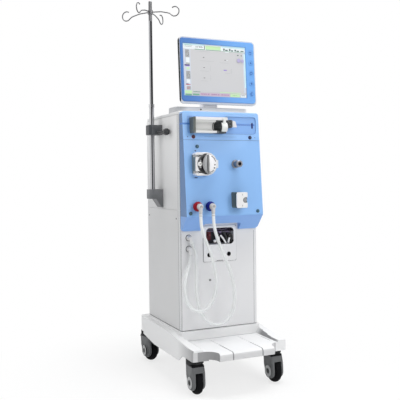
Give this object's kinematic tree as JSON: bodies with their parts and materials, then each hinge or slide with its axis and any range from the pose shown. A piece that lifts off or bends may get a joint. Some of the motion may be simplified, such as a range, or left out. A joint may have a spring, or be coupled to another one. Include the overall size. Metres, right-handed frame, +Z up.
{
  "type": "dialysis machine",
  "caption": "Wheeled haemodialysis machine with a tray base, a blue fascia carrying pump, clamp and couplings, a tilting monitor and a side pole with hooks.",
  "frame": {"origin": "on the floor at the centre of the base footprint, on the mid-plane of the cabinet", "axes": "+Z up, +X to the right as seen from the front, the front faces -Y"},
  "size_m": [0.5492, 0.733, 1.69],
  "materials": {
    "moulded_white": "satin",
    "frame_steel": "satin",
    "panel_white": "satin",
    "fitting_brass": "machined",
    "fascia_blue": "satin",
    "insert_white": "satin",
    "dark_plastic": "satin",
    "clamp_white": "gloss",
    "port_grey": "satin",
    "rotor_steel": "polished",
    "roller_white": "gloss",
    "supply_red": "gloss",
    "return_blue": "gloss",
    "hose_clear": "translucent satin",
    "bezel_blue": "satin",
    "screen_glass": "gloss",
    "key_blue": "satin",
    "pole_chrome": "polished",
    "knob_black": "satin",
    "unit_grey": "matte",
    "screw_chrome": "polished",
    "caster_grey": "satin",
    "caster_tyre": "matte",
    "pedal_grey": "satin"
  },
  "bodies": {
    "machine": {"base_moulding": "moulded_white", "chassis_frame": "frame_steel", "upper_side_panels": "panel_white", "lower_side_panels": "panel_white", "rear_cover": "panel_white", "water_fittings": "fitting_brass", "top_cover": "moulded_white", "front_panel": "panel_white", "connector_bay": "insert_white", "bay_connectors": "dark_plastic", "front_fascia": "fascia_blue", "syringe_fascia": "fascia_blue", "syringe_cradle": "moulded_white", "pressure_ports": "port_grey", "pump_housing": "moulded_white", "holder_post": "rotor_steel", "clamp_housing": "dark_plastic", "coupling_elbows": "clamp_white", "hose_ports": "clamp_white", "supply_hose": "hose_clear", "return_hose": "hose_clear", "swivel_plate": "port_grey", "pole_brackets": "dark_plastic", "pole_tube": "pole_chrome", "hydraulic_unit": "unit_grey", "power_unit": "unit_grey", "fixing_screws": "screw_chrome"},
    "caster_front_left": {"caster_fork_front_left": "caster_grey"},
    "wheel_front_left": {"caster_wheel_front_left": "caster_tyre"},
    "pedal_front_left": {"caster_pedal_front_left": "pedal_grey"},
    "caster_front_right": {"caster_fork_front_right": "caster_grey"},
    "wheel_front_right": {"caster_wheel_front_right": "caster_tyre"},
    "pedal_front_right": {"caster_pedal_front_right": "pedal_grey"},
    "caster_rear_left": {"caster_fork_rear_left": "caster_grey"},
    "wheel_rear_left": {"caster_wheel_rear_left": "caster_tyre"},
    "pedal_rear_left": {"caster_pedal_rear_left": "pedal_grey"},
    "caster_rear_right": {"caster_fork_rear_right": "caster_grey"},
    "wheel_rear_right": {"caster_wheel_rear_right": "caster_tyre"},
    "pedal_rear_right": {"caster_pedal_rear_right": "pedal_grey"},
    "neck": {"monitor_neck": "port_grey"},
    "monitor": {"monitor_shell": "dark_plastic", "monitor_bezel": "bezel_blue", "display_panel": "screen_glass"},
    "key_1": {"monitor_key_1": "key_blue"},
    "key_2": {"monitor_key_2": "key_blue"},
    "key_3": {"monitor_key_3": "key_blue"},
    "key_4": {"monitor_key_4": "key_blue"},
    "key_5": {"monitor_key_5": "key_blue"},
    "rotor": {"pump_rotor": "rotor_steel"},
    "roller_left": {"pump_roller_left": "roller_white"},
    "roller_right": {"pump_roller_right": "roller_white"},
    "handle": {"rotor_handle": "rotor_steel"},
    "door": {"clamp_door": "moulded_white"},
    "door_button": {"clamp_button": "dark_plastic"},
    "supply_sleeve": {"supply_collar": "supply_red"},
    "return_sleeve": {"return_collar": "return_blue"},
    "pusher": {"syringe_pusher": "dark_plastic"},
    "barrel_clamp": {"syringe_clamp": "clamp_white"},
    "pole_upper": {"pole_extension": "pole_chrome"},
    "knob": {"clamp_knob": "knob_black"}
  },
  "joints": [
    {"name": "swivel_front_left", "type": "hinge", "parent": "machine", "child": "caster_front_left", "pos_m": [-0.185, -0.232, 0.146], "axis": [0, 0, 1], "continuous": true},
    {"name": "roll_front_left", "type": "hinge", "parent": "caster_front_left", "child": "wheel_front_left", "pos_m": [-0.185, -0.244, 0.05], "axis": [1, 0, 0], "continuous": true},
    {"name": "brake_front_left", "type": "hinge", "parent": "caster_front_left", "child": "pedal_front_left", "pos_m": [-0.185, -0.207, 0.113], "axis": [-1, 0, 0], "range_deg": [0, 14]},
    {"name": "swivel_front_right", "type": "hinge", "parent": "machine", "child": "caster_front_right", "pos_m": [0.185, -0.232, 0.146], "axis": [0, 0, 1], "continuous": true},
    {"name": "roll_front_right", "type": "hinge", "parent": "caster_front_right", "child": "wheel_front_right", "pos_m": [0.185, -0.244, 0.05], "axis": [1, 0, 0], "continuous": true},
    {"name": "brake_front_right", "type": "hinge", "parent": "caster_front_right", "child": "pedal_front_right", "pos_m": [0.185, -0.207, 0.113], "axis": [-1, 0, 0], "range_deg": [0, 14]},
    {"name": "swivel_rear_left", "type": "hinge", "parent": "machine", "child": "caster_rear_left", "pos_m": [-0.185, 0.326, 0.146], "axis": [0, 0, 1], "continuous": true},
    {"name": "roll_rear_left", "type": "hinge", "parent": "caster_rear_left", "child": "wheel_rear_left", "pos_m": [-0.1821, 0.31436, 0.05], "axis": [0.9703, 0.2419, 0], "continuous": true},
    {"name": "brake_rear_left", "type": "hinge", "parent": "caster_rear_left", "child": "pedal_rear_left", "pos_m": [-0.19105, 0.35026, 0.113], "axis": [-0.9703, -0.2419, 0], "range_deg": [0, 14]},
    {"name": "swivel_rear_right", "type": "hinge", "parent": "machine", "child": "caster_rear_right", "pos_m": [0.185, 0.326, 0.146], "axis": [0, 0, 1], "continuous": true},
    {"name": "roll_rear_right", "type": "hinge", "parent": "caster_rear_right", "child": "wheel_rear_right", "pos_m": [0.185, 0.314, 0.05], "axis": [1, 0, 0], "continuous": true},
    {"name": "brake_rear_right", "type": "hinge", "parent": "caster_rear_right", "child": "pedal_rear_right", "pos_m": [0.185, 0.351, 0.113], "axis": [-1, 0, 0], "range_deg": [0, 14]},
    {"name": "monitor_swivel", "type": "hinge", "parent": "machine", "child": "neck", "pos_m": [0, 0.003, 1.201], "axis": [0, 0, 1], "range_deg": [-60, 60]},
    {"name": "monitor_tilt", "type": "hinge", "parent": "neck", "child": "monitor", "pos_m": [0, 0.003, 1.322], "axis": [-1, 0, 0], "range_deg": [-3, 20]},
    {"name": "key_1_press", "type": "slide", "parent": "monitor", "child": "key_1", "axis": [0, 0.9979, -0.0645], "range_m": [0, 0.0008], "stiffness_N_per_m": 900},
    {"name": "key_2_press", "type": "slide", "parent": "monitor", "child": "key_2", "axis": [0, 0.9979, -0.0645], "range_m": [0, 0.0008], "stiffness_N_per_m": 900},
    {"name": "key_3_press", "type": "slide", "parent": "monitor", "child": "key_3", "axis": [0, 0.9979, -0.0645], "range_m": [0, 0.0008], "stiffness_N_per_m": 900},
    {"name": "key_4_press", "type": "slide", "parent": "monitor", "child": "key_4", "axis": [0, 0.9979, -0.0645], "range_m": [0, 0.0008], "stiffness_N_per_m": 900},
    {"name": "key_5_press", "type": "slide", "parent": "monitor", "child": "key_5", "axis": [0, 0.9979, -0.0645], "range_m": [0, 0.0008], "stiffness_N_per_m": 900},
    {"name": "pump_spin", "type": "hinge", "parent": "machine", "child": "rotor", "pos_m": [-0.095, -0.17905, 0.947], "axis": [0, -1, 0], "continuous": true},
    {"name": "roller_left_spin", "type": "hinge", "parent": "rotor", "child": "roller_left", "pos_m": [-0.125, -0.17905, 0.947], "axis": [0, -1, 0], "continuous": true},
    {"name": "roller_right_spin", "type": "hinge", "parent": "rotor", "child": "roller_right", "pos_m": [-0.065, -0.17905, 0.947], "axis": [0, -1, 0], "continuous": true},
    {"name": "handle_fold", "type": "hinge", "parent": "rotor", "child": "handle", "pos_m": [-0.095, -0.19005, 0.9125], "axis": [1, 0, 0], "range_deg": [0, 90]},
    {"name": "door_swing", "type": "hinge", "parent": "machine", "child": "door", "pos_m": [0.036, -0.20064, 0.7915], "axis": [0, 0, -1], "range_deg": [0, 95]},
    {"name": "door_button_press", "type": "slide", "parent": "machine", "child": "door_button", "axis": [0, 1, 0], "range_m": [0, 0.0025], "stiffness_N_per_m": 600},
    {"name": "supply_sleeve_pull", "type": "slide", "parent": "machine", "child": "supply_sleeve", "axis": [0, -1, 0], "range_m": [0, 0.004], "stiffness_N_per_m": 500},
    {"name": "return_sleeve_pull", "type": "slide", "parent": "machine", "child": "return_sleeve", "axis": [0, -1, 0], "range_m": [0, 0.004], "stiffness_N_per_m": 500},
    {"name": "pusher_drive", "type": "slide", "parent": "machine", "child": "pusher", "axis": [1, 0, 0], "range_m": [0, 0.092]},
    {"name": "barrel_clamp_pull", "type": "slide", "parent": "machine", "child": "barrel_clamp", "axis": [0, -1, 0], "range_m": [0, 0.014], "stiffness_N_per_m": 150},
    {"name": "pole_height", "type": "slide", "parent": "machine", "child": "pole_upper", "axis": [0, 0, 1], "range_m": [-0.1, 0.1]},
    {"name": "knob_turn", "type": "hinge", "parent": "machine", "child": "knob", "pos_m": [-0.205, 0.104, 1.0925], "axis": [0, -1, 0], "range_deg": [0, 270]}
  ]
}
